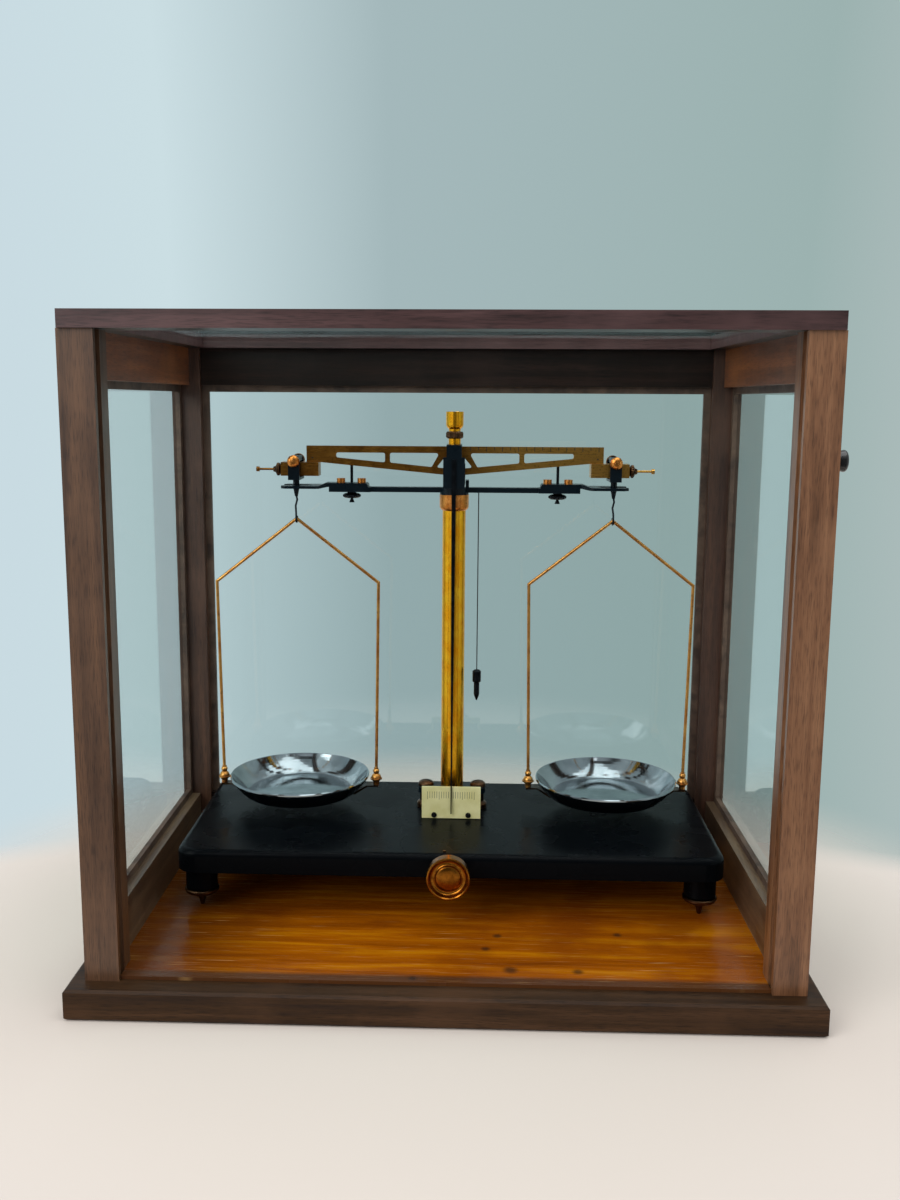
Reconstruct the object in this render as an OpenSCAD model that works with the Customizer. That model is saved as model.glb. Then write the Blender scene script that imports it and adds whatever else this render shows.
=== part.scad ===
// Two-pan analytical balance in a glazed mahogany case.
// Millimetres. Z is up, the open front faces -Y, the origin is the middle of the plinth's underside.

/* [Case] */
// Width over the posts
case_w = 400; // [360:1:460]
// Depth over the posts
case_d = 246; // [230:1:300]
// Height of the posts above the plinth
post_h = 356.5; // [340:0.5:420]
// Thickness of the plinth
plinth_t = 18; // [12:0.5:30]
// How far the plinth stands out at each side
plinth_side = 9; // [4:0.5:20]
// How far the plinth stands out in front and behind
plinth_lap = 12; // [4:0.5:24]
// Bevel round the plinth
plinth_edge = 1.5; // [0.5:0.1:4]
// Face width of a front post
post_w = 19.2; // [16:0.1:30]
// Depth of a front post
post_d = 22; // [18:0.5:34]
// Face width of a rear post
rear_post_w = 21.5; // [18:0.5:34]
// Depth of a rear post
rear_post_d = 20; // [16:0.5:30]
// Width of the groove for the sash
groove_w = 7; // [4:0.1:8]
// Distance of the sash groove behind the front face
groove_set = 3.5; // [2:0.1:6]
// Depth of the sash groove
groove_deep = 6; // [3:0.1:8]
// Thickness of the side rails
side_rail_t = 14; // [12:0.5:20]
// Height of the top rails
top_rail_h = 25.5; // [16:0.5:50]
// Height of the bottom rails
bottom_rail_h = 33; // [20:0.5:50]
// Thickness of the rear rails
rear_rail_t = 17; // [14:0.5:20]
// Thickness of the top frame
top_t = 9.5; // [8:0.1:16]
// Width of the top frame's members
top_member = 24; // [18:0.5:40]
// How far the top frame stands out in front
top_front = 2; // [0:0.1:6]
// How far the top frame stands in from the posts at each side
top_side = 1; // [0:0.1:3]
// Thickness of the lip under the top pane
lip_t = 4.5; // [2:0.1:6]
// Width of the lip under the top pane
lip_w = 6; // [3:0.1:10]
// Thickness of the floor panel
floor_t = 2; // [1:0.1:6]
// How far the floor panel stands behind the front faces of the posts
floor_set = 2.5; // [0:0.1:8]

/* [Glass and beads] */
// Thickness of the panes
glass_t = 2; // [1.5:0.1:3]
// Wood outside a side pane
side_cover = 3; // [2:0.1:5]
// Wood behind the rear pane
rear_cover = 7.5; // [3:0.1:9]
// How far a pane goes into its grooves
bite = 4.5; // [2:0.1:8]
// Play round a pane in its groove
glass_play = 0.2; // [0.05:0.05:0.5]
// Width of the glazing beads
bead_w = 4.6; // [3:0.1:8]
// Thickness of the glazing beads
bead_t = 3; // [2:0.1:5]

/* [Sash clamp] */
// Height of the clamp screw above the table
clamp_z = 309.4; // [200:0.1:340]
// Diameter of the clamp knob
clamp_d = 11.4; // [8:0.1:18]
// Thickness of the clamp knob
clamp_t = 4.8; // [3:0.1:8]
// Diameter of the clamp screw
clamp_screw_d = 3.6; // [2:0.1:5]
// Length of the leaf that the screw presses on
leaf_len = 66; // [40:1:90]
// Thickness of the leaf
leaf_t = 0.9; // [0.5:0.1:1.5]

/* [Base plate] */
// Balance axis to the right of the case's centre
bal_x = 1.2; // [-3:0.1:3]
// Balance axis in front of the case's rear face
bal_back = 72; // [69:0.5:90]
// Gap between the base plate and the side rails
base_side_gap = 15; // [6:0.5:26]
// Depth of the base plate
base_d = 145; // [130:1:170]
// Rear edge of the base plate behind the balance axis
base_back = 54; // [45:0.5:54.5]
// Thickness of the base plate
base_t = 14.5; // [12:0.5:20]
// Gap between the floor and the base plate
base_gap = 28; // [22:0.5:45]
// Metal left over the channel for the arrest shaft
base_roof = 2.2; // [2:0.1:3]
// Corner radius of the base plate
base_r = 13; // [9:0.5:25]
// Radius of the base plate's top edge
edge_r = 4; // [2:0.1:6]
// Feet in from the edges of the base plate
foot_inset = 13; // [12:0.5:25]
// Front feet behind the front edge of the base plate
foot_set = 18; // [12:0.5:30]
// Diameter of the bosses over the feet
boss_d = 20; // [16:0.5:22]
// Length of the bosses below the base plate
boss_len = 15; // [8:0.5:18]
// Diameter of the levelling screws
level_d = 6; // [4:0.1:8]
// Diameter of the levelling discs
level_disc_d = 21.5; // [16:0.1:26]
// Thickness of the levelling discs
level_disc_t = 4; // [3:0.1:6]

/* [Pillar] */
// Height of the brass tube
tube_h = 200.4; // [160:0.1:230]
// Diameter of the brass tube
tube_d = 15.4; // [12:0.1:20]
// Wall of the brass tube
tube_wall = 1.5; // [1:0.1:2.5]
// Height of the bridge's underside above the base plate
bridge_z = 11.5; // [8:0.1:20]
// Thickness of the bridge
bridge_t = 3.5; // [2.5:0.1:5]
// Depth of the bridge
bridge_d = 16; // [14:0.1:22]
// Distance of the bridge screws from the axis
bridge_x = 17.8; // [16.6:0.1:26]
// Diameter of the spacers
spacer_d = 8.4; // [6:0.1:10]
// Diameter of the spacers' feet
washer_d = 12.4; // [10:0.1:15]
// Diameter of the bridge screws' heads
bridge_head_d = 10.8; // [8:0.1:14]
// Diameter of the collar under the head
collar_d = 19.4; // [16.5:0.1:25]
// Height of the collar
collar_h = 10.5; // [7:0.1:16]
// Diameter of the head's ring
head_d = 19; // [16:0.1:24]
// Thickness of the head's ring
head_t = 4.5; // [3.5:0.1:7]
// Height of the head's cheeks above the ring
cheek_h = 5; // [3:0.1:6]

/* [Arrest] */
// How far the arms go past their outer screws
arm_end = 7.45; // [5:0.05:12]
// Width of an arm
arm_w = 7; // [5:0.1:9]
// Thickness of an arm
arm_t = 3.3; // [2.5:0.1:4.2]
// Distance of the arrest pins from the axis
pin_x = 68.3; // [66:0.1:72]
// Diameter of the arrest pins
pin_d = 1.9; // [1.4:0.1:2.6]
// Gap between a pin and the beam's stud above it
pin_gap = 2; // [1.9:0.1:3]
// Diameter of the nuts on the arrest pins
pin_nut_d = 11.4; // [8:0.1:13]
// Spacing of the screws on a clamp plate
arm_screw_gap = 13.7; // [12.6:0.1:15.5]
// Diameter of the arm screws' heads
arm_screw_d = 5.6; // [4:0.1:6.4]
// Thickness of the fork plate under the screws
fork_t = 2.6; // [2:0.1:3]
// Thickness of the fork's prongs
prong_t = 1.8; // [1.2:0.1:2.2]
// Slot between the prongs
fork_slot = 9; // [8:0.1:11]
// Width over the prongs
fork_w = 24; // [22:0.5:28]
// Reach of the prongs past the end knife
fork_past = 8.8; // [5:0.1:10]
// Height of the arrest shaft above the base plate's underside
shaft_z = 6.5; // [5.5:0.1:6.8]
// Diameter of the arrest shaft
shaft_d = 5; // [4:0.1:5.6]
// Throw of the eccentric
throw_r = 1.06; // [0.8:0.01:1.06]
// Diameter of the eccentric
cam_d = 8; // [7.6:0.1:8.4]
// Diameter of the lifting rod
rod_d = 6; // [4:0.1:7]
// Diameter of the arrest knob
knob_d = 26.6; // [20:0.1:34]
// Thickness of the arrest knob
knob_t = 8; // [5:0.1:12]
// Distance of the knob's front from the base plate's front
knob_out = 19; // [16:0.1:28]
// Depth of the knob's dish
dish = 3.6; // [2:0.1:5]
// Gap round turning and sliding pins
pin_play = 0.06; // [0.03:0.01:0.09]

/* [Beam] */
// Height of the centre knife's edge above the head's ring
knife_up = 17.4; // [16.8:0.1:19]
// Half length of the beam between its knives
knife_x = 105; // [102:0.1:110]
// Half length of the beam plate
beam_half = 97.7; // [96:0.1:99]
// Thickness of the beam plate
beam_t = 3; // [2:0.1:4]
// Top of the beam above the centre knife's edge
beam_top = 9.6; // [8.6:0.1:12]
// Height of the beam plate at its ends
beam_end_h = 10.8; // [9:0.1:11.5]
// Height of the beam plate at the centre
beam_mid_h = 18.5; // [17:0.1:18.6]
// Width of the beam's rims and webs
beam_rim = 4.2; // [3:0.1:5]
// Height of the end blocks
block_h = 8.9; // [7:0.1:9]
// Length of the end blocks
block_len = 25; // [20:0.1:26]
// Depth of the end blocks
block_d = 12; // [10:0.1:13]
// Where the beam's lower edge starts to rise, from the axis
slope_from = 7.5; // [6:0.5:12]
// Where the beam's lower edge stops rising, from the axis
slope_to = 89; // [80:0.5:92]
// Front of the saddle in front of the balance axis
saddle_front = 17.4; // [16:0.1:18]
// Length of the centre knife
centre_knife_len = 23; // [20:0.5:26]
// Half width of the knives
knife_half = 2.3; // [1.5:0.1:2.5]
// Height of the centre knife's edge above the end knives' edges
centre_up = 0.3; // [0:0.1:1]
// Diameter of the balance rods
nut_rod_d = 1.5; // [1.2:0.1:2]
// Diameter of the balance nuts
nut_d = 8; // [6:0.1:10]
// Diameter of the gravity bob's rod
bob_rod_d = 3; // [2:0.1:4]
// Diameter of the gravity bob's lock nut
bob_nut_d = 10.9; // [9:0.1:14]
// Diameter of the gravity bob
bob_d = 11.5; // [8:0.1:14]
// Height of the gravity bob
bob_h = 12.7; // [8:0.1:14]
// Length of the pointer below the centre knife's edge
pointer_len = 233.4; // [200:0.1:234.6]
// Width of the pointer at the top
pointer_w = 2.8; // [2:0.1:4]
// Thickness of the pointer
pointer_t = 1; // [0.5:0.1:1.2]
// Forward lean of the pointer in degrees
pointer_lean = 2.6; // [2.5:0.1:3]

/* [Stirrups, bows and pans] */
// Length of the end knives
end_knife_len = 15; // [13:0.1:16]
// Width of a stirrup
stirrup_w = 7.5; // [5:0.1:8]
// Clear space between a stirrup's legs
stirrup_in = 17; // [16.4:0.1:19]
// Thickness of a stirrup's legs
stirrup_t = 2.5; // [1.5:0.1:3]
// Underside of a stirrup below its knife
stirrup_drop = 12.3; // [12:0.1:12.4]
// Bow wire below the knife
bow_drop = 38.5; // [34:0.1:45]
// Diameter of the bow wire
wire_d = 2.1; // [1.5:0.1:3]
// Diameter of the hook wire
hook_d = 1.3; // [1:0.1:1.6]
// Half width of a bow at its shoulders
shoulder_x = 54.6; // [52:0.1:58]
// Drop of the shoulders below the bow's top
shoulder_drop = 42.8; // [30:0.1:60]
// Half width of a bow at the pan
bow_foot_x = 52.7; // [51.6:0.1:56]
// Radius of the balls on a bow's fittings
fit_ball = 3.4; // [2.6:0.1:3.6]
// Radius of the flange on a bow's fittings
fit_flange = 4; // [3.7:0.1:4.6]
// Width of the strap under a pan
strap_w = 7; // [5:0.5:12]
// Diameter of the hub under a pan
strap_hub_d = 12; // [8:0.5:20]
// Diameter of a pan
pan_d = 95.4; // [80:0.1:96]
// Depth of a pan
pan_h = 12.5; // [9:0.1:14]
// Diameter of a pan's flat bottom
pan_flat_d = 72; // [50:0.5:78]
// Thickness of a pan
pan_t = 0.9; // [0.7:0.1:1.5]
// Height of a pan's bottom above the base plate
pan_up = 9.5; // [8.6:0.1:14]

/* [Pointer scale and plumb line] */
// Width of the scale plate
scale_w = 39.3; // [30:0.1:46]
// Height of the scale plate
scale_h = 21.8; // [16:0.1:28]
// Thickness of the scale plate
scale_t = 1.4; // [0.8:0.1:2]
// Front of the scale plate in front of the balance axis
scale_front = 26; // [24:0.1:26.2]
// Distance of the plumb line from the axis
plumb_x = 16.2; // [14.5:0.1:24]
// Diameter of the plumb line
line_d = 0.7; // [0.5:0.1:0.9]
// Diameter of the plumb bob
plumb_d = 5.8; // [4:0.1:7]

/* [Hidden] */
$fn = 48;
eps = 0.01;
xc = case_w / 2;
yc = case_d / 2;
bal_y = yc - bal_back;
base_w = case_w - 2 * (side_rail_t + base_side_gap);
base_front = base_d - base_back;
arm_len = pin_x + arm_screw_gap / 2 + arm_end;
z_post = plinth_t + post_h;
z_floor = plinth_t + floor_t;
z_under = z_floor + base_gap;
z_base = z_under + base_t;
z_bridge = z_base + bridge_z + bridge_t;
z_ring = z_bridge + tube_h;
z_head = z_ring + head_t;
z_knife = z_head + knife_up;
z_end = z_knife - centre_up;
z_shaft = z_under + shaft_z;
z_arm = z_head - head_t + 1.4;
y_front = bal_y - base_front;
foot_x = base_w / 2 - foot_inset;
foot_y = -base_front + foot_set;
glass_x = xc - side_cover - glass_t;
rear_glass_y = yc - rear_cover - glass_t;
z_rail_top = z_post - top_rail_h;
z_rail_low = plinth_t + bottom_rail_h;
lift = 2 * throw_r * sin(45);
block_top = z_knife + beam_top - beam_end_h;
z_bow = z_end - bow_drop;
z_pan = z_base + pan_up;
strap_t = 1.2;
pan_seat = 0.1;
knee = [shoulder_x, 0, z_bow - shoulder_drop];
foot_pin = [bow_foot_x, 0, z_pan + pan_h + 3.5];
z_line = z_arm;
line_route = [[0, 0, 0], [0, 0, -8], [0, 0, -16], [0, 0, -24], [0, 0, -32], [0, 0, -40], [0, 0, -48],
  [0, 0, -56], [0, 0, -64], [0, 0, -72], [0, 0, -80], [0, 0, -88], [0, 0, -96], [0, 0, -104],
  [0, 0, -112], [0, 0, -120]];

function mahogany() = [0.30, 0.15, 0.09];
function brass() = [0.72, 0.53, 0.20];
function copper() = [0.72, 0.42, 0.24];
function lacquer() = [0.06, 0.07, 0.08];

// Shared shapes

module block(from, to) {
  translate(from) cube(to - from);
}

module both_sides() {
  children();
  mirror([1, 0, 0]) children();
}

module on_balance() {
  translate([bal_x, bal_y, 0]) children();
}

module along_y(d, y0, y1) {
  translate([0, y0, 0]) rotate([-90, 0, 0]) cylinder(d = d, h = y1 - y0);
}

module along_x(d, x0, x1) {
  translate([x0, 0, 0]) rotate([0, 90, 0]) cylinder(d = d, h = x1 - x0);
}

module upright(profile_t) {
  rotate([90, 0, 0]) translate([0, 0, -profile_t / 2]) linear_extrude(profile_t) children();
}

module rounded_slab(w, d, h, r) {
  union() {
    translate([-w / 2 + r, -d / 2, 0]) cube([w - 2 * r, d, h]);
    translate([-w / 2, -d / 2 + r, 0]) cube([w, d - 2 * r, h]);
    for (sx = [-1, 1], sy = [-1, 1])
      translate([sx * (w / 2 - r), sy * (d / 2 - r), 0]) cylinder(r = r, h = h);
  }
}

module bevelled(w, d, h, c) {
  intersection() {
    upright(d) polygon(bevel_points(w, h, c));
    rotate([0, 0, 90]) upright(w) polygon(bevel_points(d, h, c));
  }
}

function bevel_points(w, h, c) = [[-w / 2 + c, 0], [w / 2 - c, 0], [w / 2, c], [w / 2, h - c], [w / 2 - c, h],
  [-w / 2 + c, h], [-w / 2, h - c], [-w / 2, c]];

// A wire of round section through a list of points, with a ball at each bend
module wire(points, d) {
  for (k = [0 : len(points) - 2]) {
    a = points[k];
    v = points[k + 1] - a;
    translate(a) rotate([0, acos(v.z / norm(v)), atan2(v.y, v.x)]) cylinder(d = d, h = norm(v), $fn = 24);
    if (k > 0) translate(a) sphere(d = 1.05 * d, $fn = 24);
  }
}

// Case

module plinth() color(mahogany())
  bevelled(case_w + 2 * plinth_side, case_d + 2 * plinth_lap, plinth_t, plinth_edge);

module floor_panel() color([0.62, 0.33, 0.12])
  difference() {
    block([-xc + side_rail_t, -yc + floor_set, plinth_t],
      [xc - side_rail_t, yc - rear_post_d, plinth_t + floor_t]);
    both_sides() block([xc - post_w, -yc, plinth_t - 1], [xc, -yc + post_d, plinth_t + floor_t + 1]);
  }

// The panes with play all round: what the grooves are cut with
module side_pane(play) {
  block([glass_x - play, -yc + post_d - bite - play, z_rail_low - bite - play],
    [glass_x + glass_t + play, yc - rear_post_d + bite + play, z_rail_top + bite + play]);
}

module rear_pane(play) {
  block([-xc + rear_post_w - bite - play, rear_glass_y - play, z_rail_low - bite - play],
    [xc - rear_post_w + bite + play, rear_glass_y + glass_t + play, z_rail_top + bite + play]);
}

module front_post_body() {
  y0 = -yc + groove_set;
  difference() {
    block([xc - post_w, -yc, plinth_t], [xc, -yc + post_d, z_post]);
    block([xc - post_w - 1, y0, plinth_t - 1], [xc - post_w + groove_deep, y0 + groove_w, z_post + 1]);
    side_pane(glass_play);
  }
}

module front_left_post() color(mahogany())
  mirror([1, 0, 0]) front_post_body();

module front_right_post() color(mahogany())
  difference() {
    front_post_body();
    translate([0, -yc + groove_set + groove_w / 2, clamp_z])
      along_x(clamp_screw_d + 2 * pin_play, xc - post_w, xc + 1);
  }

module rear_posts() color(mahogany())
  both_sides() difference() {
    block([xc - rear_post_w, yc - rear_post_d, plinth_t], [xc, yc, z_post]);
    side_pane(glass_play);
    rear_pane(glass_play);
  }

module side_rail(z0, z1) {
  both_sides() difference() {
    block([xc - side_rail_t, -yc + post_d, z0], [xc, yc - rear_post_d, z1]);
    side_pane(glass_play);
  }
}

module top_side_rails() color(mahogany()) side_rail(z_rail_top, z_post);

module bottom_side_rails() color(mahogany()) side_rail(plinth_t, z_rail_low);

module rear_rails() color(mahogany())
  for (z = [[plinth_t, z_rail_low], [z_rail_top, z_post]]) difference() {
    block([-xc + rear_post_w, yc - rear_rail_t, z[0]], [xc - rear_post_w, yc, z[1]]);
    rear_pane(glass_play);
  }

// Four mitred members with a rebate for the pane
module top_frame() color(mahogany()) {
  w = case_w - 2 * top_side;
  d = case_d + top_front;
  m = top_member;
  translate([0, -top_front / 2, z_post]) difference() {
    union() {
      for (s = [-1, 1]) {
        linear_extrude(top_t) polygon([[-w / 2, s * d / 2], [w / 2, s * d / 2],
          [w / 2 - m, s * (d / 2 - m)], [-w / 2 + m, s * (d / 2 - m)]]);
        linear_extrude(top_t) polygon([[s * w / 2, -d / 2], [s * w / 2, d / 2],
          [s * (w / 2 - m), d / 2 - m], [s * (w / 2 - m), -d / 2 + m]]);
      }
    }
    top_pane(glass_play, top_t);
  }
}

module top_pane(play, h) {
  w = case_w - 2 * top_side - 2 * (top_member - lip_w);
  d = case_d + top_front - 2 * (top_member - lip_w);
  translate([-w / 2 - play, -d / 2 - play, lip_t]) cube([w + 2 * play, d + 2 * play, h]);
}

// Two side panes, the rear pane and the top pane, all apart from each other
module case_glass() color([0.8, 0.88, 0.87, 0.35]) {
  both_sides() side_pane(0);
  rear_pane(0);
  translate([0, -top_front / 2, z_post]) top_pane(0, glass_t);
}

module side_bead() {
  y0 = -yc + post_d;
  y1 = yc - rear_post_d;
  x0 = glass_x - bead_t;
  difference() {
    block([x0, y0, z_rail_low], [glass_x, y1, z_rail_top]);
    block([x0 - 1, y0 + bead_w, z_rail_low + bead_w], [glass_x + 1, y1 - bead_w, z_rail_top - bead_w]);
  }
}

module rear_bead() {
  x0 = xc - rear_post_w;
  difference() {
    block([-x0, rear_glass_y - bead_t, z_rail_low], [x0, rear_glass_y, z_rail_top]);
    block([-x0 + bead_w, rear_glass_y - bead_t - 1, z_rail_low + bead_w],
      [x0 - bead_w, rear_glass_y + 1, z_rail_top - bead_w]);
  }
}

module glazing_beads() color([0.36, 0.22, 0.16]) {
  both_sides() side_bead();
  rear_bead();
}

// A bowed leaf in the right sash groove, fixed at its foot
module sash_clamp_leaf() color([0.85, 0.80, 0.62]) {
  x0 = xc - post_w + groove_deep - leaf_t;
  bow = [for (k = [0 : 10]) [-3.4 * pow(max(0, k - 2) / 8, 2), leaf_len * k / 10]];
  translate([x0, -yc + groove_set + groove_w / 2, clamp_z - 0.78 * leaf_len])
    upright(groove_w - 1) polygon(concat(bow, [for (k = [10 : -1 : 0]) bow[k] + [leaf_t, 0]]));
}

module sash_clamp_knob() color([0.03, 0.03, 0.03])
  translate([0, -yc + groove_set + groove_w / 2, clamp_z]) {
    tip = xc - post_w + groove_deep + 0.8;
    along_x(clamp_screw_d, tip, xc + 1);
    translate([xc + 0.4, 0, 0]) rotate([0, 90, 0]) rotate_extrude() polygon(concat(
      [[0, 0], [clamp_d / 2 - 0.6, 0]],
      [for (a = [0 : 15 : 90]) [clamp_d / 2 - 1.6 + 1.6 * cos(a), clamp_t - 1.6 + 1.6 * sin(a)]],
      [[0, clamp_t + 0.3]]));
  }

// Base plate

module base_plate() color(lacquer())
  translate([bal_x, y_front + base_d / 2, z_under]) {
    axis = base_front - base_d / 2;
    difference() {
      union() {
        rounded_slab(base_w, base_d, base_t - edge_r, base_r);
        rounded_top(base_w, base_d, base_t, base_r, edge_r);
        for (s = [-1, 1]) translate([s * foot_x, -base_d / 2 + foot_set, -boss_len])
          cylinder(d = boss_d, h = boss_len + 2);
      }
      for (s = [-1, 1]) translate([s * foot_x, -base_d / 2 + foot_set, -boss_len - 1])
        cylinder(d = level_d + 2 * pin_play, h = boss_len + 1 + base_t - 4.5);
      block([-6, -base_d / 2 + 8, -1], [6, axis + 6, base_t - base_roof]);
      translate([0, axis, base_t - base_roof - 1]) cylinder(d = rod_d + 2, h = base_roof + 2);
      translate([0, 0, shaft_z]) along_y(bush_d, -base_d / 2 - 1, -base_d / 2 + 9);
      translate([0, 0, shaft_z]) along_y(shaft_d + 2 * pin_play, axis + 5, axis + 14);
    }
  }

bush_d = shaft_d + 2.4;

// The plate's top layer with its rounded edge
module rounded_top(w, d, h, r, e) {
  x = w / 2 - r;
  y = d / 2 - r;
  translate([0, 0, h - e]) {
    rounded_slab(w - 2 * e, d - 2 * e, e, r - e);
    for (s = [-1, 1]) {
      translate([s * (w / 2 - e), 0, 0]) along_y(2 * e, -y, y);
      translate([0, s * (d / 2 - e), 0]) along_x(2 * e, -x, x);
    }
    for (sx = [-1, 1], sy = [-1, 1]) translate([sx * x, sy * y, 0])
      rotate_extrude() translate([r - e, 0]) intersection() {
        circle(r = e);
        translate([0, -e]) square([e, 2 * e]);
      }
  }
}

module rear_foot() color(lacquer())
  on_balance() translate([0, base_back - foot_inset, z_floor]) {
    cylinder(d = 14, h = base_gap);
    cylinder(d = 17, h = 2.4);
  }

// A screw in the boss, a disc to turn it by and a point that stands on the floor
module levelling_screw() {
  z0 = base_gap - boss_len - level_disc_t - 1;
  rotate_extrude() polygon([[0, 0], [1.2, 0], [level_d / 2 - 0.4, z0 * 0.7], [level_d / 2, z0],
    [level_disc_d / 2 - 4.2, z0], [level_disc_d / 2 - 1.8, z0 + 0.6], [level_disc_d / 2 - 0.5, z0 + 1.5],
    [level_disc_d / 2, z0 + 2.5], [level_disc_d / 2, z0 + level_disc_t - 0.6],
    [level_disc_d / 2 - 0.6, z0 + level_disc_t], [level_d / 2, z0 + level_disc_t],
    [level_d / 2, base_gap + base_t - 6.5], [0, base_gap + base_t - 6.5]]);
}

module left_levelling_screw() color([0.35, 0.33, 0.24])
  on_balance() translate([-foot_x, foot_y, z_floor]) levelling_screw();

module right_levelling_screw() color([0.35, 0.33, 0.24])
  on_balance() translate([foot_x, foot_y, z_floor]) levelling_screw();

// Pillar

module pillar_bridge() color(lacquer())
  on_balance() translate([0, 0, z_base + bridge_z]) difference() {
    rounded_slab(2 * bridge_x + bridge_head_d - 0.4, bridge_d, bridge_t, bridge_head_d / 2 - 0.4);
    translate([0, 0, -1]) cylinder(d = rod_d + 2 * pin_play, h = bridge_t + 2);
    for (s = [-1, 1]) translate([s * bridge_x, 0, -1]) cylinder(d = spacer_d / 2 + 0.1, h = bridge_t + 2);
  }

module bridge_spacers() color(brass())
  on_balance() for (s = [-1, 1]) translate([s * bridge_x, 0, z_base]) difference() {
    rotate_extrude() polygon([[0, 0], [washer_d / 2, 0], [washer_d / 2, 2.8], [washer_d / 2 - 0.7, 3.8],
      [spacer_d / 2, 4.6], [spacer_d / 2, bridge_z], [0, bridge_z]]);
    translate([0, 0, 2]) cylinder(d = spacer_d / 2 + 0.1, h = bridge_z);
  }

module bridge_screws() color([0.42, 0.33, 0.25])
  on_balance() for (s = [-1, 1]) translate([s * bridge_x, 0, z_bridge]) difference() {
    union() {
      rotate_extrude() polygon(concat([[0, 0], [bridge_head_d / 2, 0]],
        [for (a = [0 : 15 : 90]) [bridge_head_d / 2 * cos(a), 1.2 + 2.6 * sin(a)]]));
      translate([0, 0, -bridge_t - bridge_z + 2.2]) cylinder(d = spacer_d / 2, h = bridge_t + bridge_z);
    }
    rotate([0, 0, 25 * s]) translate([-bridge_head_d, -0.5, 2.6]) cube([2 * bridge_head_d, 1, 3]);
  }

module pillar_tube() color(brass())
  on_balance() translate([0, 0, z_bridge]) difference() {
    cylinder(d = tube_d, h = tube_h, $fn = 64);
    translate([0, 0, -1]) cylinder(d = tube_d - 2 * tube_wall, h = tube_h + 2, $fn = 64);
  }

module pillar_collar() color(copper())
  on_balance() translate([0, 0, z_ring - collar_h]) rotate_extrude($fn = 64)
    polygon(concat([[tube_d / 2 + 0.02, 0]],
      [for (a = [-60 : 15 : 0]) [collar_d / 2 - 3.4 + 3.4 * cos(a), 3 + 3.4 * sin(a)]],
      [[collar_d / 2, collar_h], [tube_d / 2 + 0.02, collar_h]]));

module pillar_head() color(lacquer())
  on_balance() difference() {
    union() {
      translate([0, 0, z_ring]) cylinder(d = head_d, h = head_t);
      block([cheek_x, -5.5, z_head - 1], [cheek_x + 2.2, 5.5, z_head + cheek_h]);
    }
    translate([0, 0, z_ring - 1]) cylinder(d = rod_d + 2 * pin_play, h = head_t + 2);
    for (s = [-1, 1]) arm_bar(s, 0.02);
  }

bearing_w = 14.2;
cheek_x = bearing_w / 2 + 0.4;

// Arrest

module arm_bar(s, play) {
  block([min(s * (rod_d / 2 + 2), s * arm_len), -arm_w / 2 - play, z_arm - play],
    [max(s * (rod_d / 2 + 2), s * arm_len), arm_w / 2 + play, z_arm + arm_t + play]);
}

module arrest_arms() color(lacquer())
  on_balance() for (s = [-1, 1]) difference() {
    union() {
      arm_bar(s, 0);
      block([min(s * (pin_x - 13), s * arm_len), -fork_neck / 2, z_arm],
        [max(s * (pin_x - 13), s * arm_len), fork_neck / 2, z_arm + arm_t]);
    }
    translate([s * pin_x, pin_y, z_arm - 1]) cylinder(d = pin_d, h = arm_t + 2);
    for (k = [-1, 1]) translate([s * (pin_x + k * arm_screw_gap / 2), 0, z_arm - 1])
      cylinder(d = arm_screw_d / 2, h = arm_t + 2);
  }

fork_neck = 12;
pin_y = beam_t / 2 + 1.5;

// Side outline of a fork: thick under the screws, set down past the arm, with a slot for the hook
module fork() {
  z0 = z_arm + arm_t;
  z1 = z_end - stirrup_drop - 3.8 - prong_t;
  x1 = knife_x + fork_past;
  difference() {
    intersection() {
      upright(60) polygon([[pin_x - 11.5, z0], [arm_len + 0.3, z0], [arm_len + 6, z1], [x1, z1],
        [x1, z1 + prong_t], [arm_len + 6.5, z1 + prong_t], [arm_len + 2, z0 + fork_t],
        [pin_x - 10.5, z0 + fork_t],
        [pin_x - 11.5, z0 + 1.4]]);
      translate([0, 0, z0 - 20]) linear_extrude(40) polygon([[0, -fork_neck / 2], [arm_len + 1, -fork_neck / 2],
        [arm_len + 8, -fork_w / 2], [x1 - 3, -fork_w / 2], [x1, -fork_w / 2 + 3],
        [x1, fork_w / 2 - 3], [x1 - 3, fork_w / 2], [arm_len + 8, fork_w / 2], [arm_len + 1, fork_neck / 2],
        [0, fork_neck / 2]]);
    }
    translate([knife_x - 6, 0, z0 - 20]) cylinder(d = fork_slot, h = 40);
    block([knife_x - 6, -fork_slot / 2, z0 - 20], [x1 + 1, fork_slot / 2, z0 + 20]);
    translate([pin_x, pin_y, z0 - 1]) cylinder(d = pin_d, h = fork_t + 2);
    for (k = [-1, 1]) translate([pin_x + k * arm_screw_gap / 2, 0, z0 - 1])
      cylinder(d = arm_screw_d / 2, h = fork_t + 2);
  }
}

module end_forks() color(lacquer()) on_balance() both_sides() fork();

module arm_screws() color([0.40, 0.28, 0.20])
  on_balance() for (s = [-1, 1], k = [-1, 1])
    translate([s * pin_x + k * arm_screw_gap / 2, 0, z_arm]) difference() {
      union() {
        translate([0, 0, arm_t + fork_t]) cylinder(d = arm_screw_d, h = 2.9);
        cylinder(d = arm_screw_d / 2, h = arm_t + fork_t + 1);
      }
      rotate([0, 0, 40 * k]) translate([-arm_screw_d, -0.4, arm_t + fork_t + 1.9])
        cube([2 * arm_screw_d, 0.8, 2]);
    }

z_stud = z_knife - 1.1;

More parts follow.
